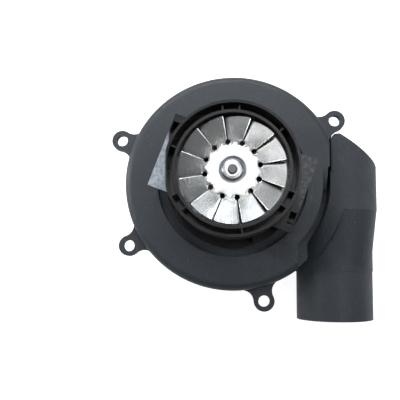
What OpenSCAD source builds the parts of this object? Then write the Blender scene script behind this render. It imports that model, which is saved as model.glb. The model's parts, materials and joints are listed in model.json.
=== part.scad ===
// Draft-inducer blower: a round scroll housing with a tangential outlet pipe,
// driven by a caged motor that turns an impeller inside and a cooling fan on top.
// Origin: shaft axis at the housing's flat rear face. +Z points towards the motor.

/* [Scroll housing] */
// Outer radius of the round drum
body_r = 82.5; // [81.5:0.5:84]
// Height of the housing up to the cover joint
body_h = 57; // [56:0.5:58]
// Moulded wall thickness
wall = 2.5; // [2:0.1:3]
// Height of the lowered roof under the groove beside the outlet block
groove_z = 50; // [48:0.5:51]
// Radius of the groove's outer side
groove_out_r = 74.4; // [73:0.2:75]
// Top of the flat outlet block
block_h = 67.5; // [67:0.5:67.5]

/* [Outlet pipe] */
// Outside diameter of the outlet pipe
pipe_d = 60.3; // [59:0.1:61]
// Sideways distance from shaft axis to pipe axis
pipe_x = 82.3; // [81:0.1:83]
// Height of the pipe axis above the rear face
pipe_z = 31; // [30.7:0.1:31.4]
// Distance from shaft axis to the pipe's open end
pipe_end = 106; // [104:1:110]

/* [Inlet and ears] */
// Radius of the round inlet in the rear wall
inlet_r = 31; // [28:0.5:32]
// Radius of the circle through the ear holes
ear_circle_r = 93.7; // [93:0.1:95]
// Radius of each ear's hole
ear_hole_r = 4.4; // [3:0.1:4.8]
// Radius of each ear's rounded end
ear_r = 8; // [7:0.1:8.5]
// Thickness of each ear
ear_t = 5; // [4:0.5:6]

/* [Front cover] */
// Height of the cover above its gasket
cover_h = 10; // [10:0.5:11]
// Radius of the rounded outer edge
cover_round = 6; // [5:0.5:6.5]
// Radius of the recess around the motor
recess_r = 57; // [56:0.5:58]
// Thickness of the gasket under the cover
gasket_t = 1; // [1:0.5:1]

/* [Motor shell and fan cage] */
// Outer radius of the lower motor shell
shell_r = 43.5; // [43.5:0.1:43.6]
// Radius of the shell's foot flange
foot_r = 50; // [49:0.5:51]
// Outer radius of the cage's outer ring
cage_r = 45.6; // [45.6:0.1:46]
// Height of the top of the cage's outer ring
cage_top = 118; // [117:0.5:119]
// Distance from shaft axis to the straight edge of a wing
wing_edge = 51.8; // [51:0.1:52.5]
// Direction that the first wing faces, in degrees
wing_angle = 159; // [155:1:163]

/* [Motor] */
// Height of the lowest lamination
stack_z = 72; // [72:0.5:72]
// Height of the lamination stack
stack_h = 22; // [22:0.5:22]
// Outer radius of the stator
stator_r = 41; // [40:0.5:41.5]
// Radius of the bore through the stator poles
stator_bore = 22.4; // [22.3:0.1:22.6]
// Direction of the first stator pole, in degrees
pole_angle = 67; // [60:1:75]
// Radius of the rotor
rotor_r = 22; // [21.5:0.1:22]
// Diameter of the shaft
shaft_d = 6.35; // [6:0.05:6.4]
// Running clearance of the shaft in its bearings
running_gap = 0.04; // [0.02:0.01:0.08]

/* [Impeller] */
// Outer radius of the impeller
wheel_r = 57; // [50:1:60]
// Number of blades on the impeller
wheel_blades = 11; // [7:1:14]
// Distance of the impeller's blade tips behind the roots, in degrees
wheel_sweep = 38; // [30:1:45]

/* [Cooling fan] */
// Outer radius of the cooling fan
fan_r = 36.4; // [35:0.1:36.6]
// Number of blades on the cooling fan
fan_blades = 12; // [10:1:14]
// Radius of the circle through the relief holes
relief_circle_r = 18.9; // [18:0.1:20]
// Radius of each relief hole
relief_r = 1.5; // [1:0.1:1.8]
// Pitch of the cooling fan's blades, in degrees
fan_pitch = 13; // [8:1:16]

/* [Hidden] */
$fn = 96;
// Overlap that lets one cut pass cleanly through another face
cut = 1;
// Overlap that joins two shapes into one
fuse = 0.2;
// Radial gaps between fixed pieces: an easy fit, and one in place of a press fit
loose = 0.1;
snug = 0.05;
pressed = 0.02;

// Housing
pipe_r = pipe_d / 2;
// The pipe's wall is a little thicker than the housing's
pipe_wall = 2.65;
// A hose slides on as far as the pipe's slightly thicker root
hose_depth = 38;
root_step = 0.4;
groove_in_r = 68;
cover_cut_x = 67.7;
cover_tab_x = 73.2;
cover_tab_y = 11;
// A ramp leads down from the tab into the groove
ledge_y = -5;
tongue_x = 48.5;
ledge_w = 4.3;
ledge_low = 1.2;
block_left_x = 75;
rear_left_x = 64;
rear_right_x = 98;
// The duct's section is highest here, and falls in an arc to each side
crest_x = 90;
duct_bulge = 1;
// The flat top ends at a steep step around the drum, in an arc about a point beside the shaft
step_x = 14;
step_r = 76;
step_z = 57;
step_slope = 4;
// From here the duct's top slopes down into the pipe
ramp_y = -20;
ramp_tilt = 10.5;
ramp_lean = 24;
ramp_length = 46;
ramp_start = 0.5;
ear_angles = [31.8, 158, 210.7, 284.8];
ear_fillet = 9;
inlet_lip_h = 10;
seat_in_r = 38;
seat_out_r = 44;
seat_depth = 2;

// Cover
cover_z = body_h + gasket_t;
cover_top = cover_z + cover_h;
floor_top = cover_z + 2;
screw_angles = [62, 118, 190, 252];
screw_circle_r = 76;
screw_seat_z = 42;
screw_r = 1.75;
pilot_r = screw_r + 0.05;
screw_hole_r = 2.05;
screw_well_r = 4;
head_h = 2.4;
driver_slot = 0.8;
boss_r = 5;
column_r = 6.4;
hub_hole_r = 8;

// Motor
shaft_r = shaft_d / 2;
shell_wall = 1.7;
shell_top = 96;
foot_h = 4;
rib_angle = -71.4;
rib_top = 88;
rib_t = 1.6;
rib_reach = 6;
shell_screw_angles = [41, 176, 266];
shell_screw_circle = 46.8;
stack_top = stack_z + stack_h;
poles = 4;
yoke_in_r = 33;
pole_w = 14;
shoe_r = 26;
coil_in_r = 27;
coil_out_r = 32.5;
bobbin_wall = 0.9;
coil_w = 26;
coil_over = 4.5;
bolt_circle_r = 38.2;
bolt_angle = pole_angle - 45;
bolt_r = 1.6;
bracket_z = floor_top + 1.2;
bracket_t = 1.5;
arm_z = 100;
cup_r = 12;
felt_r = 10.4;
bush_r = 6.5;
upper_bush_z = 99;
lower_bush_z = bracket_z - 0.7;
bush_h = 7.5;
felt_h = 3.4;
cup_drop = 1;
// The lower thrust washer sits a little above the lower bush
lower_thrust_z = lower_bush_z + bush_h + 0.3;
end_ring_h = 4;
thrust_t = 0.8;

// Cage
cage_wall = 1.9;
cage_base = 88;
cage_floor = 98;
inner_ring_r = 39.85;
inner_ring_wall = 2;
inner_ring_top = 115.5;
pocket_rib_t = 1.2;
wing_t = 4;
wing_low = -25;
wing_high = 28.5;
window_in = 46.5;
window_out = 51;
window_low = -19.5;
window_high = -10.8;
socket_low = 86;
socket_wall = 2;
blade_y = [-12.9, -17.4];
terminal_x = 48.9;
terminal_low = 82;
terminal_h = 9;
terminal_t = 0.8;
terminal_w = 2.8;
lead_in_x = 36;
lead_z = 66.5;
lead_r = 0.9;
grommet_r = 1.55;

// Impeller and fan
wheel_low = 12;
wheel_high = 52;
plate_t = 2;
wheel_eye_r = 30;
wheel_root_r = 22;
blade_curve = 46;
hub_r = 9;
insert_r = 6;
fan_z = 111;
fan_t = 0.9;

// ---------- shared shapes ----------

// Ring from low to high between two radii
module ring(out_r, in_r, low, high) {
    translate([0, 0, low])
        difference() {
            cylinder(r = out_r, h = high - low);
            translate([0, 0, -cut]) cylinder(r = in_r, h = high - low + 2 * cut);
        }
}

// Copies of a shape at a radius, once for each angle
module around(angles, radius) {
    for (a = angles)
        rotate([0, 0, a]) translate([radius, 0, 0]) children();
}

// Plan of the cover and of the housing wall under it, drawn in by an inset
module cover_plan(inset = 0) {
    far = 2 * body_r;
    intersection() {
        circle(r = body_r - inset);
        union() {
            translate([-far, -far]) square([far + tongue_x - inset, 2 * far]);
            square([cover_cut_x - inset, far]);
            translate([0, cover_tab_y + inset]) square([cover_tab_x - inset, far]);
            circle(r = groove_in_r - inset);
        }
    }
}

// Plan of the outlet block and pipe
module outlet_plan(inset = 0) {
    far_x = pipe_x + pipe_r + 2 * duct_bulge;
    polygon([
        [pipe_x / 2, -pipe_end - cut], [pipe_x / 2, 8], [block_left_x + inset, 8],
        [block_left_x + inset, 34 - inset], [77.5 + inset, 36.7 - inset],
        [81.5 - inset / 2, 36.7 - inset], [far_x, 12 - inset], [far_x, -pipe_end - cut]
    ]);
}

// Upper half of the duct's section across the outlet's direction
module duct_section(inset = 0) {
    left_r = block_h - pipe_z;
    right_r = pipe_x + pipe_r + duct_bulge - crest_x;
    intersection() {
        translate([crest_x, pipe_z]) circle(r = left_r - inset);
        translate([0, pipe_z]) square([crest_x, block_h]);
    }
    intersection() {
        translate([crest_x, block_h - right_r]) circle(r = right_r - inset);
        translate([crest_x, pipe_z]) square([block_h, block_h]);
    }
}

// Flat-topped block with square rear corners, drawn in by an inset
module block(inset = 0) {
    rear_w = rear_right_x - rear_left_x - 2 * inset;
    intersection() {
        translate([0, pipe_end, 0]) rotate([90, 0, 0]) linear_extrude(2 * pipe_end) {
            duct_section(inset);
            translate([rear_left_x + inset, inset]) square([rear_w, pipe_z]);
        }
        union() {
            translate([step_x, 0, 0]) cylinder(r = step_r - inset, h = step_z - inset);
            translate([step_x, 0, step_z - inset])
                cylinder(r1 = step_r - inset, r2 = step_r - inset - step_slope, h = block_h - step_z);
            translate([0, inset, 0]) bend_side(1, 3 * ramp_start);
        }
    }
}

// Turns a shape about the sloping line where the duct bends down into the pipe
module bend(angle) {
    translate([crest_x, ramp_y, block_h])
        rotate([0, ramp_lean, 0]) rotate([angle, 0, 0]) rotate([0, -ramp_lean, 0]) children();
}

// All the space on one side of the bend: 1 for the block's side, -1 for the pipe's
module bend_side(side, past_bend) {
    far = 3 * pipe_end;
    bend(ramp_tilt / 2)
        translate([-far / 2, (side > 0 ? 0 : -far) - past_bend, -far / 2]) cube(far);
}

// Upper half of the duct beyond the bend, where it sinks into the pipe
module ramp() {
    intersection() {
        bend(ramp_tilt)
            translate([-crest_x, ramp_length / 4, -block_h])
                rotate([90, 0, 0]) linear_extrude(ramp_length * 1.25) duct_section();
        bend_side(-1, ramp_start);
    }
}

// Cylinder along the pipe's axis, from its open end or beyond it
module along_pipe(radius, from_y) {
    translate([pipe_x, from_y, pipe_z])
        rotate([-90, 0, 0]) cylinder(r = radius, h = 2 * pipe_end);
}

// Block, ramp and pipe together
module outlet() {
    intersection() {
        translate([0, 0, -cut]) linear_extrude(block_h + 2 * cut) outlet_plan();
        union() {
            along_pipe(pipe_r, -pipe_end);
            along_pipe(pipe_r + root_step, hose_depth - pipe_end);
            block();
            ramp();
        }
    }
}

// Air space inside the block and pipe
module outlet_bore() {
    intersection() {
        translate([0, 0, -cut]) linear_extrude(block_h + 2 * cut) outlet_plan(wall);
        union() {
            along_pipe(pipe_r - pipe_wall, -pipe_end - cut);
            block(wall);
        }
    }
}

// Plan of one ear, lying along +X
module ear_plan() {
    fillet_x = (pow(ear_circle_r, 2) + pow(body_r + ear_fillet, 2) - pow(ear_r + ear_fillet, 2))
        / (2 * ear_circle_r);
    fillet_y = sqrt(pow(body_r + ear_fillet, 2) - pow(fillet_x, 2));
    root = body_r / (body_r + ear_fillet);
    tip = ear_r / (ear_r + ear_fillet);
    tip_x = ear_circle_r + (fillet_x - ear_circle_r) * tip;
    // The root is a little narrower than the fillets' ends, so it meets the drum at an angle
    root_y = fillet_y * root * 0.93;
    difference() {
        union() {
            difference() {
                polygon([
                    [screw_circle_r, -root_y], [fillet_x * root, -root_y],
                    [tip_x, -fillet_y * tip], [tip_x, fillet_y * tip],
                    [fillet_x * root, root_y], [screw_circle_r, root_y]
                ]);
                for (side = [-1, 1])
                    translate([fillet_x, side * fillet_y]) circle(r = ear_fillet);
            }
            translate([ear_circle_r, 0]) circle(r = ear_r);
        }
        translate([ear_circle_r, 0]) circle(r = ear_hole_r);
    }
}

// ---------- fixed casing ----------

module scroll_housing() {
    color("#2b2d30")
    difference() {
        union() {
            cylinder(r = body_r, h = groove_z);
            linear_extrude(body_h) cover_plan();
            difference() {
                outlet();
                translate([0, 0, groove_z]) cylinder(r = groove_out_r, h = body_h);
            }
            translate([0, 0, body_h - ear_t])
                linear_extrude(ear_t)
                    for (a = ear_angles) rotate(a) ear_plan();
        }
        difference() {
            housing_cavity();
            around(screw_angles, screw_circle_r) cylinder(r = column_r, h = body_h);
            ring(seat_out_r + 3, seat_in_r - 3, 0, seat_depth + wall);
            ring(inlet_r + wall, inlet_r, 0, inlet_lip_h);
        }
        translate([0, 0, -cut]) cylinder(r = inlet_r, h = inlet_lip_h);
        ring(seat_out_r, seat_in_r, -cut, seat_depth);
        around(screw_angles, screw_circle_r) {
            translate([0, 0, -cut]) cylinder(r = screw_well_r, h = screw_seat_z + cut);
            cylinder(r = screw_hole_r, h = body_h + cut);
        }
    }
}

// Air space inside the housing
module housing_cavity() {
    translate([0, 0, wall]) cylinder(r = body_r - wall, h = groove_z - 2 * wall);
    translate([0, 0, groove_z / 2]) linear_extrude(body_h) cover_plan(wall);
    difference() {
        outlet_bore();
        translate([0, 0, groove_z - wall]) cylinder(r = groove_out_r + wall, h = body_h);
    }
}

module front_cover() {
    edge_r = body_r - cover_round;
    color("#34373b")
    difference() {
        union() {
            difference() {
                intersection() {
                    translate([0, 0, cover_z]) linear_extrude(cover_h) cover_plan();
                    union() {
                        cylinder(r = body_r, h = cover_top - cover_round);
                        cylinder(r = edge_r, h = cover_top);
                        translate([0, 0, cover_top - cover_round])
                            rotate_extrude() translate([edge_r, 0]) circle(r = cover_round);
                    }
                }
                difference() {
                    translate([0, 0, cover_z - cut])
                        linear_extrude(cover_h - wall + cut) cover_plan(wall);
                    cylinder(r = recess_r + wall, h = cover_top);
                }
            }
            translate([cover_cut_x - cut, 0, cover_z])
                rotate([90, 0, 90]) linear_extrude(ledge_w + cut)
                    polygon([
                        [ledge_y, 0], [cover_tab_y + cut, 0],
                        [cover_tab_y + cut, cover_h], [cover_tab_y, cover_h], [ledge_y, ledge_low]
                    ]);
            around(screw_angles, screw_circle_r)
                translate([0, 0, cover_z]) cylinder(r = boss_r, h = cover_h - wall + fuse);
        }
        translate([0, 0, floor_top]) cylinder(r = recess_r, h = cover_h);
        translate([0, 0, cover_z - cut]) cylinder(r = hub_hole_r, h = cover_h);
        around(screw_angles, screw_circle_r)
            translate([0, 0, cover_z - cut]) cylinder(r = pilot_r, h = cover_h - wall);
        around(shell_screw_angles, shell_screw_circle)
            translate([0, 0, cover_z - cut]) cylinder(r = screw_hole_r, h = cover_h);
        around(bolt_angles(), bolt_circle_r)
            translate([0, 0, cover_z - cut]) cylinder(r = bolt_r + 2 * loose, h = cover_h);
    }
}

module cover_gasket() {
    color("#6d6f72")
    translate([0, 0, body_h])
        linear_extrude(gasket_t)
            difference() {
                union() {
                    difference() {
                        cover_plan();
                        cover_plan(wall);
                    }
                    for (a = screw_angles)
                        rotate(a) translate([screw_circle_r, 0]) circle(r = boss_r);
                }
                for (a = screw_angles)
                    rotate(a) translate([screw_circle_r, 0]) circle(r = screw_hole_r);
            }
}

module inlet_gasket() {
    color("#7b2f22") ring(seat_out_r - loose, seat_in_r + loose, 0, seat_depth);
}

// Pan-head screw pointing up, its head's bearing face at the given height
module screw_up(seat, length, head_r) {
    slot_l = 4;
    slot_depth = 1;
    translate([0, 0, seat - head_h])
        difference() {
            cylinder(r = head_r, h = head_h);
            for (turn = [0, 90])
                rotate([0, 0, turn])
                    translate([-slot_l / 2, -driver_slot / 2, -cut])
                        cube([slot_l, driver_slot, slot_depth + cut]);
        }
    translate([0, 0, seat - fuse]) cylinder(r = screw_r, h = length + fuse);
}

module cover_screws() {
    color("silver")
    around(screw_angles, screw_circle_r) screw_up(screw_seat_z, 22, 3.5);
}

module motor_shell() {
    color("#17181a")
    difference() {
        union() {
            ring(shell_r, shell_r - shell_wall, floor_top, shell_top);
            ring(foot_r, shell_r - shell_wall, floor_top, floor_top + foot_h);
            for (k = [0:3])
                rotate([0, 0, rib_angle + 90 * k])
                    translate([shell_r - shell_wall / 2, -rib_t / 2, floor_top])
                        cube([rib_reach, rib_t, rib_top - floor_top]);
        }
        around(shell_screw_angles, shell_screw_circle)
            translate([0, 0, floor_top - cut]) cylinder(r = pilot_r, h = foot_h + cut - 0.5);
        for (turn = [0, 180])
            rotate([0, 0, wing_angle + turn])
                for (y = blade_y)
                    translate([lead_in_x, y, lead_z])
                        rotate([0, 90, 0]) cylinder(r = grommet_r + snug, h = foot_r);
    }
}

module shell_screws() {
    color("silver")
    around(shell_screw_angles, shell_screw_circle) screw_up(cover_z, 5, 3);
}

// ---------- cage on top of the motor ----------

// One wing with its terminal socket, facing +X
module wing() {
    difference() {
        union() {
            difference() {
                translate([shell_r - 10, wing_low, cage_floor])
                    cube([wing_edge - shell_r + 10, wing_high - wing_low, wing_t]);
                cylinder(r = cage_r - cage_wall / 2, h = cage_top);
            }
            difference() {
                translate([cage_r - 1, window_low - 1.2, socket_low])
                    cube([wing_edge - cage_r + 1, window_high - window_low + 2.4, cage_floor - socket_low]);
                cylinder(r = cage_r - cage_wall / 2, h = cage_top);
            }
        }
        translate([window_in, window_low, socket_low + socket_wall])
            cube([window_out - window_in, window_high - window_low, cage_top]);
        for (y = blade_y)
            translate([terminal_x - terminal_w / 2 - loose, y - terminal_t / 2 - loose, socket_low - cut])
                cube([terminal_w + 2 * loose, terminal_t + 2 * loose, socket_wall + 2 * cut]);
    }
}

module fan_cage() {
    // Clockwise from the top of the drum: three pairs of ribs with a single rib after each
    pair = [for (k = [0:2], side = [-1, 1]) 90 + 1.3 - 120 * k + 7.7 * side];
    single = [for (k = [0:2]) 90 - 51.5 - 120 * k];
    pocket_in = inner_ring_r - 0.5;
    pocket_l = cage_r - cage_wall / 2 - pocket_in;
    color("#141516")
    union() {
        ring(cage_r, cage_r - cage_wall, cage_base, cage_top);
        ring(inner_ring_r, inner_ring_r - inner_ring_wall, cage_floor, inner_ring_top);
        ring(cage_r - 0.5, inner_ring_r - 1, cage_floor, cage_floor + 2);
        for (a = concat(pair, single))
            rotate([0, 0, a])
                translate([pocket_in, -pocket_rib_t / 2, cage_floor + 1])
                    cube([pocket_l, pocket_rib_t, inner_ring_top - cage_floor - 2]);
        for (turn = [0, 180])
            rotate([0, 0, wing_angle + turn]) wing();
    }
}

module terminal_blades() {
    color("#8f8f90")
    for (turn = [0, 180])
        rotate([0, 0, wing_angle + turn])
            for (y = blade_y)
                translate([terminal_x - terminal_w / 2, y - terminal_t / 2, terminal_low])
                    cube([terminal_w, terminal_t, terminal_h]);
}

module lead_wires() {
    color("#3f3f44")
    for (turn = [0, 180])
        rotate([0, 0, wing_angle + turn])
            for (y = blade_y)
                translate([0, y, 0]) {
                    translate([terminal_x, 0, lead_z]) cylinder(r = lead_r, h = terminal_low - lead_z);
                    translate([lead_in_x, 0, lead_z])
                        rotate([0, 90, 0]) cylinder(r = lead_r, h = terminal_x - lead_in_x);
                    translate([terminal_x, 0, lead_z]) sphere(r = lead_r);
                }
}

module lead_grommets() {
    color("#242424")
    for (turn = [0, 180])
        rotate([0, 0, wing_angle + turn])
            for (y = blade_y)
                translate([lead_in_x + 2, y, lead_z])
                    rotate([0, 90, 0]) ring(grommet_r, lead_r + snug, 0, 6);
}

// ---------- stator ----------

// Centres of the four long bolts
function bolt_angles() = [for (k = [0:3]) bolt_angle + 90 * k];

// Copies of a shape at each stator pole
module at_poles() {
    for (k = [0:poles - 1])
        rotate([0, 0, pole_angle + 360 / poles * k]) children();
}

module stator_core() {
    color("#8d9196")
    translate([0, 0, stack_z])
        linear_extrude(stack_h)
            difference() {
                union() {
                    difference() {
                        circle(r = stator_r);
                        circle(r = yoke_in_r);
                    }
                    at_poles() translate([stator_bore + 1, -pole_w / 2])
                        square([yoke_in_r - stator_bore, pole_w]);
                    difference() {
                        circle(r = shoe_r);
                        circle(r = stator_bore - fuse);
                        at_poles() rotate(45) translate([0, -2]) square([shoe_r + 1, 4]);
                    }
                }
                circle(r = stator_bore);
                for (a = bolt_angles())
                    rotate(a) translate([bolt_circle_r, 0]) circle(r = bolt_r + loose);
            }
}

// Square ring around a pole's neck, standing along the radius
module pole_frame(from_r, to_r, hole_w, out_w, hole_h, out_h) {
    translate([from_r, 0, stack_z + stack_h / 2])
        difference() {
            translate([0, -out_w / 2, -out_h / 2]) cube([to_r - from_r, out_w, out_h]);
            translate([-cut, -hole_w / 2, -hole_h / 2]) cube([to_r - from_r + 2 * cut, hole_w, hole_h]);
        }
}

// Keeps a shape clear of the yoke around it
module within_yoke() {
    intersection() {
        children();
        cylinder(r = yoke_in_r - loose, h = cage_top);
    }
}

module coil_bobbins() {
    hole_w = pole_w + loose;
    hole_h = stack_h + loose;
    spool_w = pole_w + 2 * bobbin_wall;
    spool_h = stack_h + 2 * bobbin_wall;
    flange_h = stack_h + 2 * coil_over + 1;
    color("#e8e4d8")
    at_poles() within_yoke() {
        pole_frame(shoe_r + loose, yoke_in_r, hole_w, spool_w, hole_h, spool_h);
        pole_frame(shoe_r + loose, coil_in_r, hole_w, coil_w + 1, hole_h, flange_h);
    }
}

module stator_coils() {
    color("#b8672d")
    at_poles() within_yoke()
        pole_frame(coil_in_r + snug, coil_out_r, pole_w + 2 * bobbin_wall + loose, coil_w,
            stack_h + 2 * bobbin_wall + loose, stack_h + 2 * coil_over);
}

module thermal_protector() {
    color("#d8d2c0")
    rotate([0, 0, pole_angle])
        translate([coil_in_r + 0.3, -6, stack_top + coil_over + 0.6]) cube([5, 12, 3]);
}

module lower_bracket() {
    color("#a9adb1")
    difference() {
        union() {
            ring(stator_r - 0.5, bush_r + snug, bracket_z, bracket_z + bracket_t);
            ring(cup_r, felt_r + loose, bracket_z, bracket_z + bush_h - cup_drop);
        }
        around(bolt_angles(), bolt_circle_r) cylinder(r = bolt_r + loose, h = cage_top);
    }
}

module upper_bracket() {
    foot_in_r = 35.3;
    arm_turn = 12;
    arm_w = 6;
    color("#a9adb1")
    difference() {
        union() {
            ring(stator_r, foot_in_r, stack_top, stack_top + bracket_t);
            for (a = bolt_angles())
                rotate([0, 0, a + arm_turn]) {
                    translate([foot_in_r + fuse, -arm_w / 2, stack_top])
                        cube([bracket_t, arm_w, arm_z - stack_top + bracket_t]);
                    translate([cup_r - 1, -arm_w / 2, arm_z])
                        cube([foot_in_r + fuse - cup_r + bracket_t + 1, arm_w, bracket_t]);
                }
            ring(cup_r, bush_r + snug, arm_z, arm_z + bracket_t);
            ring(cup_r, felt_r + loose, arm_z, arm_z + bush_h - cup_drop);
        }
        around(bolt_angles(), bolt_circle_r) cylinder(r = bolt_r + loose, h = arm_z);
    }
}

module through_bolts() {
    tip = cover_z - 3.6;
    color("silver")
    around(bolt_angles(), bolt_circle_r) {
        translate([0, 0, tip]) cylinder(r = bolt_r, h = stack_top + bracket_t - tip + 0.5);
        translate([0, 0, stack_top + bracket_t]) cylinder(r = 3, h = 2, $fn = 6);
    }
}

module stator_spacers() {
    color("#9aa0a5")
    around(bolt_angles(), bolt_circle_r) ring(3, bolt_r + loose, bracket_z + bracket_t, stack_z);
}

module motor_isolators() {
    color("#202020")
    around(bolt_angles(), bolt_circle_r) ring(3.4, bolt_r + 2 * loose, floor_top, bracket_z);
}

module motor_nuts() {
    color("silver")
    around(bolt_angles(), bolt_circle_r)
        difference() {
            translate([0, 0, cover_z - 2.6]) cylinder(r = 3.3, h = 2.6, $fn = 6);
            translate([0, 0, cover_z - 3]) cylinder(r = bolt_r + 0.03, h = 4);
        }
}

// ---------- bearings ----------

module lower_bearing() {
    color("#9c7a3c") ring(bush_r, shaft_r + running_gap, lower_bush_z, lower_bush_z + bush_h);
}

module upper_bearing() {
    color("#9c7a3c") ring(bush_r, shaft_r + running_gap, upper_bush_z, upper_bush_z + bush_h);
}

module bearing_felts() {
    color("#cfc8b4") {
        ring(felt_r, bush_r + snug, bracket_z + bracket_t, bracket_z + bracket_t + felt_h);
        ring(felt_r, bush_r + snug, arm_z + bracket_t, arm_z + bracket_t + felt_h);
    }
}

module bearing_retainers() {
    color("#7d8287") {
        ring(felt_r, bush_r + snug, bracket_z + bracket_t + felt_h + loose, bracket_z + bush_h - cup_drop);
        ring(felt_r, bush_r + snug, arm_z + bracket_t + felt_h + loose, arm_z + bush_h - cup_drop);
    }
}

module shaft_seal() {
    color("#39302b") ring(10, shaft_r + 0.06, cover_z - 1.5, cover_z);
}

// ---------- rotating pieces ----------

module shaft() {
    color("#c9cccf")
    union() {
        translate([0, 0, 14]) cylinder(r = shaft_r, h = 100.8);
        translate([0, 0, 114.6]) cylinder(r1 = shaft_r, r2 = shaft_r - 0.6, h = 0.8);
    }
}

module rotor_core() {
    color("#82868b") ring(rotor_r, shaft_r + pressed, stack_z, stack_top);
}

module rotor_end_rings() {
    color("#bfc3c7") {
        ring(rotor_r - 0.8, 14, stack_top, stack_top + end_ring_h);
        ring(rotor_r - 0.8, 14, stack_z - end_ring_h, stack_z);
    }
}

module rotor_spacers() {
    color("#8f9499") {
        ring(5.5, shaft_r + pressed, stack_top, stack_top + end_ring_h);
        ring(5.5, shaft_r + pressed, lower_thrust_z + thrust_t, stack_z);
    }
}

module thrust_washers() {
    color("#ded8c6") {
        ring(6, shaft_r + pressed, stack_top + end_ring_h, stack_top + end_ring_h + thrust_t);
        ring(6, shaft_r + pressed, lower_thrust_z, lower_thrust_z + thrust_t);
    }
}

module slinger() {
    color("#222222") ring(7.5, shaft_r + pressed, wheel_high + 0.8, wheel_high + 2);
}

// Plan of one impeller blade: an arc whose tip trails a clockwise turn
module wheel_blade_plan() {
    root = [wheel_root_r, 0];
    tip = wheel_r * [cos(wheel_sweep), sin(wheel_sweep)];
    chord = tip - root;
    mid = (tip + root) / 2;
    rise = sqrt(pow(blade_curve, 2) - chord * chord / 4) / norm(chord);
    centre = mid + rise * [-chord[1], chord[0]];
    intersection() {
        difference() {
            translate(centre) circle(r = blade_curve + 0.8);
            translate(centre) circle(r = blade_curve - 0.8);
        }
        difference() {
            circle(r = wheel_r - fuse);
            circle(r = wheel_root_r);
        }
        translate([5, -wheel_r]) square([wheel_r, 2 * wheel_r]);
    }
}

module impeller() {
    color("#1f2022")
    union() {
        ring(wheel_r, insert_r + pressed, wheel_high - plate_t, wheel_high);
        ring(wheel_r, wheel_eye_r, wheel_low, wheel_low + plate_t);
        ring(hub_r, insert_r + pressed, 22, wheel_high - cut);
        translate([0, 0, wheel_low + plate_t / 2])
            linear_extrude(wheel_high - wheel_low - plate_t)
                for (k = [0:wheel_blades - 1]) rotate(360 / wheel_blades * k) wheel_blade_plan();
    }
}

module hub_insert() {
    color("#b5934a") ring(insert_r, shaft_r + pressed, 20, wheel_high);
}

module hub_washer() {
    color("silver") ring(6.2, shaft_r + pressed, 19, 20);
}

module hub_nut() {
    color("silver")
    difference() {
        translate([0, 0, 15]) cylinder(r = 5.8, h = 4, $fn = 6);
        translate([0, 0, 14]) cylinder(r = shaft_r + pressed, h = 6);
    }
}

module cooling_fan() {
    step = 360 / fan_blades;
    first = 9.2;
    root = relief_circle_r - 1;
    color("#c6c9cc")
    difference() {
        union() {
            translate([0, 0, fan_z]) cylinder(r = relief_circle_r, h = fan_t);
            for (k = [0:fan_blades - 1])
                translate([0, 0, fan_z])
                    rotate([0, 0, first + step * (k + 0.5)])
                        rotate([-fan_pitch, 0, 0]) fan_blade(root, step);
        }
        translate([0, 0, fan_z - cut]) cylinder(r = 5.02, h = 4);
        for (k = [0:fan_blades - 1])
            rotate([0, 0, first + step * k])
                translate([relief_circle_r, 0, fan_z - 5]) cylinder(r = relief_r, h = 10);
    }
}

// One fan blade along +X, as a flat ring sector
module fan_blade(root, step) {
    half = step / 2 - 1.2;
    linear_extrude(fan_t)
        intersection() {
            difference() {
                circle(r = fan_r);
                circle(r = root);
            }
            polygon([[0, 0], 2 * fan_r * [cos(half), -sin(half)], 2 * fan_r * [cos(half), sin(half)]]);
        }
}

module fan_bush() {
    color("#d7d9db") {
        ring(5, shaft_r + pressed, fan_z - 3, fan_z + 2);
    }
}

scroll_housing();
front_cover();
cover_gasket();
inlet_gasket();
cover_screws();
motor_shell();
shell_screws();
fan_cage();
terminal_blades();
lead_wires();
lead_grommets();
stator_core();
coil_bobbins();
stator_coils();
thermal_protector();
lower_bracket();
upper_bracket();
through_bolts();
stator_spacers();
motor_isolators();
motor_nuts();
lower_bearing();
upper_bearing();
bearing_felts();
bearing_retainers();
shaft_seal();
shaft();
rotor_core();
rotor_end_rings();
rotor_spacers();
thrust_washers();
slinger();
impeller();
hub_insert();
hub_washer();
hub_nut();
cooling_fan();
fan_bush();
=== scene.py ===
"""Draft-inducer blower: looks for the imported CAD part.

The moulded casing, cover, motor shell, fan cage and impeller and the small hardware are copies of
the CAD shapes with their edges rounded. The cooling fan's stamping and the windings are built here
as new meshes. Every other CAD node is shown as it is, with its own material.
"""
import json
import math

import bmesh
import bpy
from mathutils import Matrix, Vector


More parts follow.
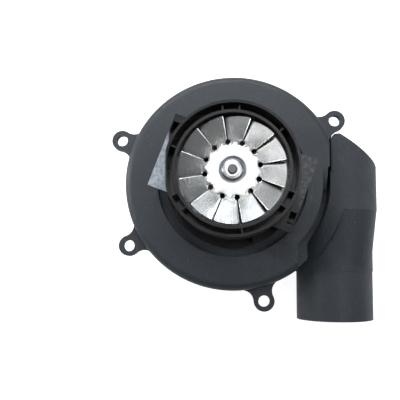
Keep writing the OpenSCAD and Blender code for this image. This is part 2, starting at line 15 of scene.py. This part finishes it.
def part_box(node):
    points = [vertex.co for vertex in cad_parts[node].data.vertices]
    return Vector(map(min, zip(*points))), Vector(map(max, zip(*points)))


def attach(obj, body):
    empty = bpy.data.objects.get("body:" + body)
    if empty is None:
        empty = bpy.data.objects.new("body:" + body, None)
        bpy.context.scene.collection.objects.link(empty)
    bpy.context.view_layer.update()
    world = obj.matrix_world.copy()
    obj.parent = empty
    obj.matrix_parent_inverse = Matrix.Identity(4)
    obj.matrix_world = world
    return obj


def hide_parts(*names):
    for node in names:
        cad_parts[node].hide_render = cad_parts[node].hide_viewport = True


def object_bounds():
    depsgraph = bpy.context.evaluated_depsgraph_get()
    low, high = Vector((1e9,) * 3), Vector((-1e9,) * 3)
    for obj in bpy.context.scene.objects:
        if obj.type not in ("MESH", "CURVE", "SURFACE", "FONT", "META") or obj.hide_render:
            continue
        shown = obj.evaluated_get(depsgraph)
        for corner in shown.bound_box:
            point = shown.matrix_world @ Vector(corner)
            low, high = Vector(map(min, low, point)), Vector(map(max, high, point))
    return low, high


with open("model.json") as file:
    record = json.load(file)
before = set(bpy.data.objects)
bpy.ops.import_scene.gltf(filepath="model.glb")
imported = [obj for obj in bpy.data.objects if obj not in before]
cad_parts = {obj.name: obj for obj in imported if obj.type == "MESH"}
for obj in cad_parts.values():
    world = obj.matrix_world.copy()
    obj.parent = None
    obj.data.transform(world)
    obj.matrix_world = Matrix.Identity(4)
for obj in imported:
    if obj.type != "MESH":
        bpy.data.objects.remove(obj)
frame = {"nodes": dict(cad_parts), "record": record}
CAD_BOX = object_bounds()
NODES = frame["nodes"]
MM = 0.001

# Where the painted reflection on the wings fades in, from none to full, in metres
LEFT_WING = (-0.0435, -0.0452)
RIGHT_WING = (0.0445, 0.0465)
WING_TOP = (0.1005, 0.1018)


# ---------------------------------------------------------------- node helpers

class Shader:
    """A material under construction: short calls add nodes and join them."""

    def __init__(self, name):
        self.material = bpy.data.materials.new(name)
        self.material.use_nodes = True
        self.tree = self.material.node_tree
        self.surface = self.tree.nodes["Principled BSDF"]
        self.place = self.tree.nodes.new("ShaderNodeTexCoord").outputs["Object"]

    def add(self, kind, **settings):
        node = self.tree.nodes.new(kind)
        for key, value in settings.items():
            setattr(node, key, value)
        return node

    def join(self, source, target):
        self.tree.links.new(source, target)

    def feed(self, socket, value):
        """Sets a socket from a number, a colour or another node's output."""
        if isinstance(value, bpy.types.NodeSocket):
            self.join(value, socket)
        elif isinstance(value, (tuple, list)) and len(value) == 3 and socket.type == "RGBA":
            socket.default_value = (*value, 1)
        else:
            socket.default_value = value

    def stretched(self, scale=(1, 1, 1), turn=(0, 0, 0), place=None):
        """Object position, scaled and turned."""
        node = self.add("ShaderNodeMapping")
        self.join(place or self.place, node.inputs["Vector"])
        node.inputs["Scale"].default_value = scale
        node.inputs["Rotation"].default_value = turn
        return node.outputs[0]

    def noise(self, size_mm, detail=3.0, rough=0.55, place=None):
        """Noise from 0 to 1 whose features are about size_mm wide."""
        node = self.add("ShaderNodeTexNoise")
        node.inputs["Scale"].default_value = 1 / (size_mm * MM)
        node.inputs["Detail"].default_value = detail
        node.inputs["Roughness"].default_value = rough
        self.join(place or self.place, node.inputs["Vector"])
        return node.outputs["Fac"]

    def cells(self, size_mm):
        """Distance to the nearest point of a scatter about size_mm apart."""
        node = self.add("ShaderNodeTexVoronoi")
        node.inputs["Scale"].default_value = 1 / (size_mm * MM)
        self.join(self.place, node.inputs["Vector"])
        return node.outputs["Distance"]

    def spread(self, value, low, high, to_low=0.0, to_high=1.0):
        """Maps low..high to to_low..to_high, and holds it there outside."""
        node = self.add("ShaderNodeMapRange")
        self.feed(node.inputs["Value"], value)
        limits = {"From Min": low, "From Max": high, "To Min": to_low, "To Max": to_high}
        for key, number in limits.items():
            node.inputs[key].default_value = number
        return node.outputs["Result"]

    def sum(self, a, b, operation="ADD"):
        node = self.add("ShaderNodeMath", operation=operation)
        self.feed(node.inputs[0], a)
        self.feed(node.inputs[1], b)
        return node.outputs[0]

    def mix(self, factor, a, b):
        """Colour a where factor is 0 and colour b where it is 1."""
        node = self.add("ShaderNodeMix", data_type="RGBA")
        self.feed(node.inputs["Factor"], factor)
        self.feed(node.inputs[6], a)
        self.feed(node.inputs[7], b)
        return node.outputs[2]

    def bump(self, height, depth_mm, strength=1.0, under=None):
        node = self.add("ShaderNodeBump")
        node.inputs["Strength"].default_value = strength
        node.inputs["Distance"].default_value = depth_mm * MM
        self.feed(node.inputs["Height"], height)
        if under is not None:
            self.join(under, node.inputs["Normal"])
        return node.outputs["Normal"]

    def finish(self, colour, roughness, normal=None, metallic=0.0, specular=0.5):
        self.feed(self.surface.inputs["Base Color"], colour)
        self.feed(self.surface.inputs["Roughness"], roughness)
        self.feed(self.surface.inputs["Metallic"], metallic)
        self.surface.inputs["Specular IOR Level"].default_value = specular
        if normal is not None:
            self.join(normal, self.surface.inputs["Normal"])
        return self.material


def tinted(colour, factor):
    """A colour made darker or lighter by a factor."""
    return tuple(min(1, c * factor) for c in colour)


def scratches(s, size_mm, amount, turn=0.5):
    """Thin straight scratches, from 0 to 1."""
    lines = s.noise(size_mm, 2.0, place=s.stretched((1, 0.04, 1), (0, 0, turn)))
    sparse = s.noise(size_mm * 6, 2.0)
    thin = s.spread(lines, 0.66, 0.70)
    return s.sum(thin, s.spread(sparse, 0.5, 0.62, 0, amount), "MULTIPLY")


# ---------------------------------------------------------------- materials

def matt_moulding(name, colour, lift):
    """Spark-eroded black plastic with a fine grain, faint dust and handling marks."""
    s = Shader(name)
    tone = s.mix(s.noise(22, 4), colour, tinted(colour, lift))
    grain = s.noise(0.55, 2.0, 0.7)
    coarse_grain = s.spread(s.noise(1.5, 3.0, 0.65), 0.42, 0.66, 0, 0.55)
    speckled = s.mix(coarse_grain, tone, tinted(colour, 1.55))
    grained = s.mix(s.spread(grain, 0.45, 0.75, 0, 0.35), speckled, tinted(colour, 2.2))
    dust = s.spread(s.cells(3.1), 0.05, 0.10, 0.4, 0.0)
    dusty = s.mix(s.sum(dust, s.spread(s.noise(14), 0.5, 0.65), "MULTIPLY"), grained, (0.26, 0.26, 0.25))
    marks = scratches(s, 1.2, 0.4)
    final = s.mix(marks, dusty, (0.20, 0.20, 0.20))
    rough = s.spread(s.noise(9, 3), 0.3, 0.7, 0.42, 0.54)
    coarse = s.bump(s.noise(1.3, 2.0), 0.11, 0.9)
    return s.finish(final, rough, s.bump(grain, 0.05, 0.9, coarse), specular=0.5)


def gloss_moulding(name, with_painted_wing_reflection):
    """Glossy black plastic; the second argument adds a painted reflection, pale blue-white blotches on
    the tops of the two wings.
    """
    s = Shader(name)
    haze = s.noise(6, 4)
    base = s.mix(haze, (0.010, 0.010, 0.011), (0.016, 0.016, 0.018))
    marks = scratches(s, 1.4, 0.25, 1.2)
    colour = s.mix(marks, base, (0.05, 0.05, 0.055))
    rough = s.spread(haze, 0.3, 0.7, 0.20, 0.26)
    if with_painted_wing_reflection:
        # Painted reflection: pale blue-white blotches on the wings, strongest on the -X wing where a
        # softbox would mirror in it; those spots are also made rougher.
        wear_and_painted_glint = wing_painted_reflection(s)
        colour = s.mix(wear_and_painted_glint, colour, (0.50, 0.56, 0.63))
        rough = s.sum(rough, s.sum(wear_and_painted_glint, 0.25, "MULTIPLY"))
    return s.finish(colour, rough, s.bump(s.noise(9, 2), 0.02, 0.4), specular=0.55)


def wing_painted_reflection(s):
    """Painted reflection from 0 to 1: strong on the wing that faces -X, faint on the other, and none
    lower down.
    """
    split = s.add("ShaderNodeSeparateXYZ")
    s.join(s.place, split.inputs[0])
    blotch = s.spread(s.noise(2.4, 5, 0.7), 0.34, 0.60, 0.45, 1.0)
    faint = s.spread(s.noise(3.0, 4), 0.40, 0.70, 0.04, 0.25)
    left = s.sum(s.spread(split.outputs["X"], *LEFT_WING), blotch, "MULTIPLY")
    right = s.sum(s.spread(split.outputs["X"], *RIGHT_WING), faint, "MULTIPLY")
    level = s.spread(split.outputs["Z"], *WING_TOP)
    return s.sum(s.sum(left, right, "MAXIMUM"), level, "MULTIPLY")


def stamped_aluminium(name):
    """Rolled sheet: fine straight lines, smudges, a painted highlight on the flat hub and painted shade
    in the pressed groove.
    """
    s = Shader(name)
    reach = s.add("ShaderNodeVectorMath", operation="LENGTH")
    s.join(s.stretched((1, 1, 0)), reach.inputs[0])
    from_shaft = s.sum(reach.outputs["Value"], 1 / MM, "MULTIPLY")
    groove = s.sum(s.spread(from_shaft, 6.0, 6.8), s.spread(from_shaft, 9.4, 8.6), "MULTIPLY")
    hub = s.spread(from_shaft, 17.5, 15.5)
    lines = s.noise(0.35, 3.0, place=s.stretched((1, 0.03, 1), (0, 0, 0.4)))
    smudge = s.noise(11, 5, 0.6)
    tint = s.mix(s.spread(smudge, 0.38, 0.66), (0.86, 0.88, 0.90), (0.66, 0.67, 0.64))
    sheet = s.mix(s.spread(lines, 0.35, 0.7, 0, 0.3), tint, (0.5, 0.51, 0.53))
    # Painted highlight: the flat hub is coloured brighter than the blades.
    bright = s.mix(s.sum(hub, 0.8, "MULTIPLY"), sheet, (0.93, 0.94, 0.96))
    # Painted shade: the pressed groove is coloured dark grey.
    colour = s.mix(s.sum(groove, 0.85, "MULTIPLY"), bright, (0.20, 0.22, 0.235))
    rolled = s.sum(s.spread(smudge, 0.3, 0.7, 0.17, 0.27), s.spread(lines, 0.3, 0.7, -0.03, 0.05))
    rough = s.sum(rolled, s.sum(hub, 0.10, "MULTIPLY"))
    return s.finish(colour, rough, s.bump(lines, 0.004, 0.4), metallic=1.0)


def bare_metal(name, colour, rough, grain_mm=0.6, stretch=(1, 1, 1), bump_mm=0.01):
    """Metal with a cloudy tone and a fine grain, which can be stretched into lines."""
    s = Shader(name)
    grain = s.noise(grain_mm, 3.0, place=s.stretched(stretch))
    cloud = s.noise(7, 3)
    tone = s.mix(s.spread(cloud, 0.35, 0.7), colour, tinted(colour, 0.72))
    final = s.mix(s.spread(grain, 0.4, 0.75, 0, 0.4), tone, tinted(colour, 0.55))
    polish = s.spread(cloud, 0.3, 0.7, rough, rough + 0.14)
    return s.finish(final, polish, s.bump(grain, bump_mm), metallic=1.0)


def laminated(name):
    """Stacked steel sheets: thin dark lines across the shaft's direction."""
    s = Shader(name)
    wave = s.add("ShaderNodeTexWave", wave_type="BANDS", bands_direction="Z")
    wave.inputs["Scale"].default_value = 300
    s.join(s.place, wave.inputs["Vector"])
    sheets = wave.outputs["Fac"]
    colour = s.mix(sheets, (0.10, 0.105, 0.115), (0.36, 0.37, 0.39))
    rust = s.spread(s.noise(5, 5), 0.58, 0.75, 0, 0.6)
    return s.finish(s.mix(rust, colour, (0.22, 0.11, 0.06)), 0.42, s.bump(sheets, 0.06), metallic=0.85)


def soft(name, colour, size_mm, depth_mm, rough=0.85):
    """Rubber, foam or felt, by the size and depth of its grain."""
    s = Shader(name)
    grain = s.noise(size_mm, 5, 0.7)
    tone = s.mix(s.spread(grain, 0.3, 0.7), tinted(colour, 0.6), tinted(colour, 1.25))
    wear_and_painted_glint = s.spread(s.noise(5), 0.3, 0.7, rough - 0.08, rough + 0.05)
    return s.finish(tone, wear_and_painted_glint, s.bump(grain, depth_mm), specular=0.3)


def enamelled_copper(name):
    """Copper wire under clear enamel, darker in patches."""
    s = Shader(name)
    cloud = s.noise(3, 4)
    colour = s.mix(cloud, (0.42, 0.13, 0.035), (0.80, 0.30, 0.09))
    rough = s.spread(cloud, 0.3, 0.7, 0.22, 0.36)
    return s.finish(colour, rough, s.bump(s.noise(0.5, 3), 0.02), metallic=0.8)


MATERIALS = {
    "housing_plastic": matt_moulding("housing_plastic", (0.040, 0.048, 0.058), 1.2),
    # Only the cage gets the painted reflection on its wings.
    "cage_plastic": gloss_moulding("cage_plastic", True),
    "shell_plastic": gloss_moulding("shell_plastic", False),
    "wheel_plastic": matt_moulding("wheel_plastic", (0.022, 0.022, 0.024), 1.3),
    "gasket_rubber": soft("gasket_rubber", (0.20, 0.20, 0.19), 0.8, 0.10),
    "seal_rubber": soft("seal_rubber", (0.38, 0.07, 0.04), 1.0, 0.12),
    "black_rubber": soft("black_rubber", (0.025, 0.025, 0.025), 0.6, 0.04, 0.75),
    "wire_cover": soft("wire_cover", (0.05, 0.05, 0.055), 1.2, 0.02, 0.45),
    "felt": soft("felt", (0.55, 0.50, 0.40), 0.5, 0.25, 0.95),
    "nylon": soft("nylon", (0.74, 0.70, 0.60), 2.0, 0.02, 0.5),
    "steel": bare_metal("steel", (0.62, 0.63, 0.66), 0.26),
    "shaft_steel": bare_metal("shaft_steel", (0.24, 0.25, 0.26), 0.30, 0.5, (1, 1, 0.2), 0.006),
    "brass": bare_metal("brass", (0.80, 0.60, 0.26), 0.24),
    # Painted shade: the terminal blades are coloured near-black, so they show as the dark inside the
    # cage's window.
    "tinned_brass": bare_metal("tinned_brass", (0.05, 0.048, 0.045), 0.45),
    # Painted shade: the rotor's end rings are coloured near-black, as the shade inside the motor.
    "shade_dark_aluminium": bare_metal("shade_dark_aluminium", (0.07, 0.07, 0.07), 0.6),
    "bronze": bare_metal("bronze", (0.46, 0.31, 0.14), 0.42, 0.4, (1, 1, 1), 0.04),
    "lamination": laminated("lamination"),
    "fan_aluminium": stamped_aluminium("fan_aluminium"),
    "copper": enamelled_copper("copper"),
}


# ---------------------------------------------------------------- mesh helpers

def slot_of(node):
    """Name of a CAD node's material slot."""
    return next(s["material_slot"] for s in frame["record"]["subparts"] if s["node"] == node)


def body_of(node):
    """Name of the body that a CAD node moves with."""
    bodies = frame["record"]["behaviour"]["bodies"]
    return next(name for name, members in bodies.items() if node in members)


def paint(piece, material):
    piece.data.materials.clear()
    piece.data.materials.append(MATERIALS[material])


def dress(piece, material, node):
    """Gives a piece its material, and its body from the CAD node that it stands for."""
    paint(piece, material)
    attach(piece, body_of(node))


def smooth(mesh, degrees=35):
    """Smooth shading, with creases where faces meet at more than the given angle."""
    mesh.shade_smooth()
    mesh.set_sharp_from_angle(angle=math.radians(degrees))


def new_piece(name, build, material, node):
    """A piece whose mesh is filled in by build(bm), in place of a CAD node."""
    mesh = bpy.data.meshes.new(name)
    bm = bmesh.new()
    build(bm)
    bmesh.ops.recalc_face_normals(bm, faces=bm.faces)
    bm.to_mesh(mesh)
    bm.free()
    smooth(mesh)
    piece = bpy.data.objects.new(name, mesh)
    bpy.context.scene.collection.objects.link(piece)
    dress(piece, material, node)
    return piece


def bevel(piece, name, width_mm, segments, degrees):
    """Rounds the edges where faces meet at more than the given angle."""
    edge = piece.modifiers.new(name, "BEVEL")
    edge.width = width_mm * MM
    edge.segments = segments
    edge.limit_method = "ANGLE"
    edge.angle_limit = math.radians(degrees)


def rounded(node, name, radius_mm, steps):
    """Replaces a CAD node by a copy with its flat areas cleaned up and every edge rounded."""
    merge_mm, flat_degrees, edge_degrees, crease_degrees = 0.002, 0.6, 32, 40
    mesh = NODES[node].data.copy()
    mesh.name = name
    bm = bmesh.new()
    bm.from_mesh(mesh)
    bmesh.ops.remove_doubles(bm, verts=bm.verts, dist=merge_mm * MM)
    flat = math.radians(flat_degrees)
    bmesh.ops.dissolve_limit(bm, angle_limit=flat, verts=bm.verts, edges=bm.edges)
    bm.to_mesh(mesh)
    bm.free()
    if "custom_normal" in mesh.attributes:
        mesh.attributes.remove(mesh.attributes["custom_normal"])
    piece = bpy.data.objects.new(name, mesh)
    bpy.context.scene.collection.objects.link(piece)
    dress(piece, look_of(node), node)
    bevel(piece, "rounded_edges", radius_mm, steps, edge_degrees)
    smooth(mesh, crease_degrees)
    even = piece.modifiers.new("even_shading", "WEIGHTED_NORMAL")
    even.keep_sharp = True
    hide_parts(node)


# ---------------------------------------------------------------- cooling fan

# Lengths are in millimetres and shares run across a blade from 0 to 1
BLADES = 12
BLADE_STEP = math.radians(360 / BLADES)
FIRST_SLOT = math.radians(9.2)
FAN_RIM = 36.4
FAN_BORE = 5.1
HOLE_AT, HOLE_R = 18.9, 1.85
HALF_SLOT = 0.36
TIP_ROUND, TIP_CUT = 0.9, 0.35
FOLD = 0.13
FOLD_LOW, FOLD_DROP, BLADE_RISE = -0.85, 0.7, 2.7
GROOVE_AT, GROOVE_HALF, GROOVE_DEEP = 7.8, 0.95, 0.75
DISH_W, DISH_H = 1.5, 0.35
BLADE_ROOT = 16.6


def half_gap(r):
    """Half the gap between two blades at a distance from the shaft."""
    reach = HOLE_R ** 2 - (r - HOLE_AT) ** 2
    arc = math.sqrt(reach) if reach > 0 else 0.0
    return max(arc, HALF_SLOT if r > HOLE_AT else 0.0)


def fan_height(r, s):
    """Height above the disc: s runs from the blade's folded edge to its raised edge."""
    groove = -GROOVE_DEEP * math.exp(-(((r - GROOVE_AT) / GROOVE_HALF) ** 4))
    dish = DISH_H * max(0.0, 1 - ((r - FAN_BORE) / DISH_W) ** 2) if r < FAN_BORE + DISH_W else 0.0
    t = min(1.0, max(0.0, (r - BLADE_ROOT) / (FAN_RIM - BLADE_ROOT)))
    lift = t * (1.6 - 0.6 * t)
    if s < FOLD:
        wave = FOLD_LOW - FOLD_DROP * (FOLD - s) / FOLD
    else:
        wave = FOLD_LOW + BLADE_RISE * (s - FOLD) / (1 - FOLD)
    return groove + dish + lift * wave


def fan_radii():
    """Distances from the shaft for the fan's rows: closer together at the groove and the holes."""
    groove = [GROOVE_AT + side * step for step in (0.3, 0.6, 0.85, 1.1) for side in (-1, 1)]
    hub = [FAN_BORE, 5.5, 6.0, 6.4, GROOVE_AT, 9.3, 10, 11.5, 13.5, 15.5, 16.9]
    rows = 14
    holes = [HOLE_AT - HOLE_R * math.cos(math.pi * k / rows) for k in range(1, rows)]
    holes = [r for r in holes if r <= HOLE_AT or half_gap(r) > HALF_SLOT]
    start, end, spans = 22, FAN_RIM - TIP_ROUND, 12
    blades = [20.5, 21.2] + [start + (end - start) * k / spans for k in range(spans + 1)]
    return sorted(hub + groove + holes + blades + [FAN_RIM - 0.4, FAN_RIM])


def fan_shares():
    """Places across a blade for the fan's columns, with three close together at the fold."""
    columns = 20
    return sorted({k / columns for k in range(columns + 1)} | {FOLD - 0.02, FOLD, FOLD + 0.02})


def cooling_fan():
    """Blades stamped from one sheet: each rises to its clockwise edge, and the strip along its
    other edge is folded down. Slots end in round relief holes, and the hub has a pressed groove."""
    below_bush_top, sheet = 1.6, 0.8
    disc_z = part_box("fan_bush")[1].z / MM - below_bush_top
    radii = fan_radii()
    shares = fan_shares()

    def build(bm):
        rows = {}
        for k in range(BLADES):
            for i, r in enumerate(radii):
                gap = half_gap(r) / r
                corner = TIP_CUT * max(0.0, 1 - (FAN_RIM - r) / TIP_ROUND) ** 2 / r
                span = BLADE_STEP - 2 * gap - 2 * corner
                for j, s in enumerate(shares):
                    a = FIRST_SLOT + BLADE_STEP * (k + 1) - gap - corner - s * span
                    point = (r * math.cos(a), r * math.sin(a), disc_z + fan_height(r, s))
                    rows[k, i, j] = bm.verts.new([c * MM for c in point])
        for k in range(BLADES):
            for i in range(len(radii) - 1):
                for j in range(len(shares) - 1):
                    near = (rows[k, i, j], rows[k, i + 1, j])
                    far = (rows[k, i + 1, j + 1], rows[k, i, j + 1])
                    bm.faces.new([*near, *far])
        hub = [v for (_, i, _), v in rows.items() if radii[i] < HOLE_AT and half_gap(radii[i]) == 0]
        bmesh.ops.remove_doubles(bm, verts=hub, dist=0.01 * MM)

    piece = new_piece("cooling_fan_stamping", build, "fan_aluminium", "cooling_fan")
    thick = piece.modifiers.new("sheet", "SOLIDIFY")
    thick.thickness = sheet * MM
    thick.offset = 0
    bevel(piece, "burr", 0.12, 2, 60)
    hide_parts("cooling_fan")


# ---------------------------------------------------------------- windings

# Lengths are in millimetres. Squareness below 1 makes the coil's oval boxier
POLES = 4
FIRST_POLE = math.radians(67)
COIL_AT, COIL_Z = 29.9, 83.0
COIL_HALF_W, COIL_HALF_H = 10.4, 13.6
BUNDLE_W, BUNDLE_DEEP = 2.3, 2.6
SQUARENESS = 0.42
CROWN_FROM, CROWN_LEAN = 0.8, 2.6


def coil_path(share):
    """Point and outward direction on a rounded rectangle, by its share of a turn."""
    a = 2 * math.pi * share
    c, d = math.cos(a), math.sin(a)
    x = COIL_HALF_W * math.copysign(abs(c) ** SQUARENESS, c)
    y = COIL_HALF_H * math.copysign(abs(d) ** SQUARENESS, d)
    return Vector((x, y)), Vector((c, d)).normalized()


def windings():
    """A bundle of wire around each stator pole. Its two crowns lean outwards over the yoke."""
    around, section = 56, 14

    def coil_ring(bm, turn, share):
        """One section through the bundle."""
        point, out = coil_path(share)
        crown = max(0.0, abs(point.y) / COIL_HALF_H - CROWN_FROM) / (1 - CROWN_FROM)
        ring = []
        for j in range(section):
            b = 2 * math.pi * j / section
            side = point + out * BUNDLE_W * math.cos(b)
            radial = COIL_AT + BUNDLE_DEEP * math.sin(b) + CROWN_LEAN * crown
            spot = turn @ Vector((radial, side.x, COIL_Z + side.y))
            ring.append(bm.verts.new(spot * MM))
        return ring

    def build(bm):
        for k in range(POLES):
            turn = Matrix.Rotation(FIRST_POLE + 2 * math.pi * k / POLES, 3, "Z")
            rings = [coil_ring(bm, turn, i / around) for i in range(around)]
            for i in range(around):
                here, there = rings[i], rings[(i + 1) % around]
                for j in range(section):
                    n = (j + 1) % section
                    bm.faces.new([here[j], here[n], there[n], there[j]])

    piece = new_piece("stator_windings", build, "copper", "stator_coils")
    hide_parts("stator_coils")


# ---------------------------------------------------------------- stage

def add_camera():
    """Above the pipe side of the cover, looking almost straight down. The lens is shifted a little,
    since the photograph looks like a cropped part of a wider picture."""
    stand = Vector((0, -66.7, 432)) * MM
    aim = Vector((-12.7, -40.9, 62)) * MM
    forward = (aim - stand).normalized()
    right = forward.cross(Vector((0, 1, 0))).normalized()
    up = right.cross(forward)
    turn = Matrix((right, up, -forward)).transposed().to_4x4()
    data = bpy.data.cameras.new("camera")
    data.lens = 43.77
    data.shift_x, data.shift_y = -0.04, 0.09
    data.clip_start = 0.01
    camera = bpy.data.objects.new("camera", data)
    camera.matrix_world = Matrix.Translation(stand) @ turn
    bpy.context.scene.collection.objects.link(camera)
    bpy.context.scene.camera = camera


def add_light(name, place, size, power, colour=(1, 1, 1)):
    """Rectangular softbox that faces the motor. Places and sizes are in metres."""
    aim = Vector((0, 0, 0.08))
    data = bpy.data.lights.new(name, "AREA")
    data.shape = "RECTANGLE"
    data.size, data.size_y = size
    data.energy = power
    data.color = colour
    light = bpy.data.objects.new(name, data)
    light.location = place
    light.rotation_euler = (aim - Vector(place)).to_track_quat("-Z", "Y").to_euler()
    light.visible_camera = False
    bpy.context.scene.collection.objects.link(light)


def add_floor():
    """White floor. Its glow is full for the camera and weaker as fill light on the object."""
    glow_as_fill, glow_seen = 0.32, 0.92
    mesh = bpy.data.meshes.new("floor")
    bm = bmesh.new()
    bmesh.ops.create_grid(bm, x_segments=1, y_segments=1, size=4)
    bm.to_mesh(mesh)
    bm.free()
    floor = bpy.data.objects.new("floor", mesh)
    floor.location.z = CAD_BOX[0].z - 0.2 * MM
    bpy.context.scene.collection.objects.link(floor)
    s = Shader("floor")
    s.surface.inputs["Emission Color"].default_value = (1, 1, 1, 1)
    seen = s.add("ShaderNodeLightPath").outputs["Is Camera Ray"]
    s.join(s.spread(seen, 0, 1, glow_as_fill, glow_seen), s.surface.inputs["Emission Strength"])
    mesh.materials.append(s.finish((0.86, 0.86, 0.86), 0.9, specular=0.1))


def add_world():
    """Faint even light from all round."""
    world = bpy.data.worlds.new("studio")
    world.use_nodes = True
    back = world.node_tree.nodes["Background"]
    back.inputs["Color"].default_value = (0.95, 0.97, 1.0, 1)
    back.inputs["Strength"].default_value = 0.11
    bpy.context.scene.world = world


# Rounding of the copied CAD nodes' edges, in millimetres
MOULDINGS = {
    "scroll_housing": 0.6, "front_cover": 0.5, "motor_shell": 0.35, "fan_cage": 0.45, "impeller": 0.4,
}
SMALL_PARTS = {
    "cover_screws": 0.25, "shell_screws": 0.2, "through_bolts": 0.25, "motor_nuts": 0.25,
    "terminal_blades": 0.12, "hub_nut": 0.3, "hub_washer": 0.15, "hub_insert": 0.2,
    "inlet_gasket": 0.3, "upper_bracket": 0.25, "fan_bush": 0.2, "shaft": 0.15,
}
# Nodes that don't take the material named after their slot
OTHER_LOOKS = {
    "motor_shell": "shell_plastic", "fan_bush": "fan_aluminium", "rotor_end_rings": "shade_dark_aluminium",
}


def look_of(node):
    """Name of the material that a CAD node is shown with."""
    return OTHER_LOOKS.get(node, slot_of(node))


def build_object():
    for node, radius in MOULDINGS.items():
        rounded(node, node + "_moulding", radius, 3 if node == "fan_cage" else 2)
    for node, radius in SMALL_PARTS.items():
        rounded(node, node + "_rounded", radius, 2)
    cooling_fan()
    windings()
    stood_in = {*MOULDINGS, *SMALL_PARTS, "cooling_fan", "stator_coils"}
    for node, obj in NODES.items():
        if node not in stood_in:
            paint(obj, look_of(node))


def light_scene():
    cool, pale = (0.92, 0.96, 1.0), (0.93, 0.96, 1.0)
    add_light("zenith_box", (0.0, 0.28, 1.4), (0.25, 0.25), 0.9)
    add_light("right_box", (0.44, 0.20, 1.10), (0.36, 0.5), 0.85, cool)
    add_light("pipe_box", (0.36, -0.22, 1.10), (0.10, 0.34), 0.6, pale)
    add_light("key", (-0.1, 0.8, 1.1), (0.9, 0.6), 1.45)
    add_light("top_strip", (-0.06, 0.40, 0.36), (0.5, 0.2), 1.45)
    add_light("left_strip", (-0.5, 0.1, 0.3), (0.05, 0.5), 1.4)
    add_light("right_strip", (0.5, 0.05, 0.3), (0.05, 0.5), 0.35)


build_object()
add_floor()
add_world()
add_camera()
light_scene()
bpy.context.scene.view_settings.view_transform = "Standard"
